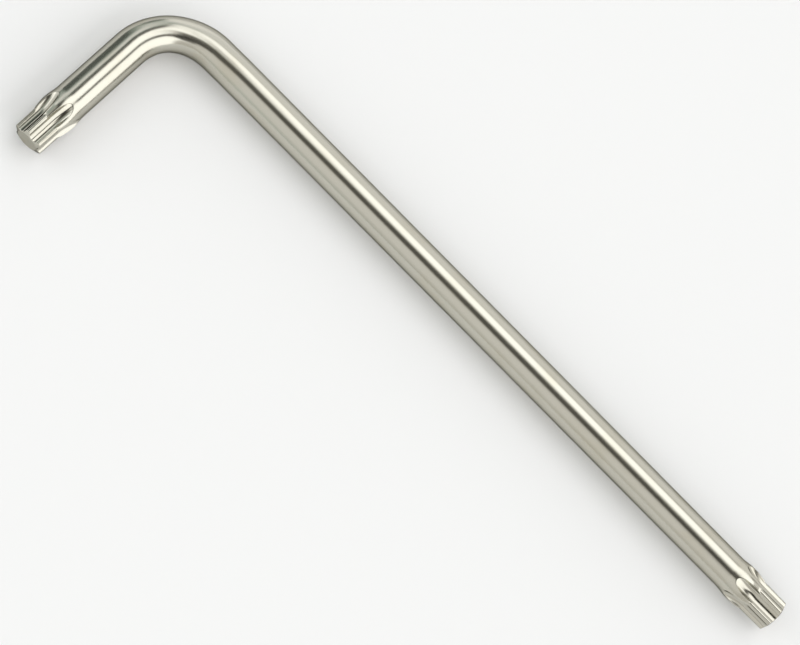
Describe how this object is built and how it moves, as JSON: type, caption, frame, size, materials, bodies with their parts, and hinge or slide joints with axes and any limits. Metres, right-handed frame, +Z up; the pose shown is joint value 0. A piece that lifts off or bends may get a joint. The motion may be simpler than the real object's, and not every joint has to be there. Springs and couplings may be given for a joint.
{
  "type": "six-lobe L-key",
  "caption": "L-shaped key for turning six-lobe screws: a round steel bar with one right-angle bend and a fluted six-lobe tip formed at each end.",
  "frame": {"origin": "on the surface that the key lies on, under the middle of its box", "axes": "+X along the long arm towards its tip, -Y along the short arm towards its tip, +Z up"},
  "size_m": [0.1592, 0.0408, 0.0075],
  "materials": {
    "nickel_plate": "bright nickel plate over drawn steel"
  },
  "bodies": {
    "root": {"long_tip": "nickel_plate", "long_arm": "nickel_plate", "bend": "nickel_plate", "short_arm": "nickel_plate", "short_tip": "nickel_plate"}
  },
  "joints": []
}
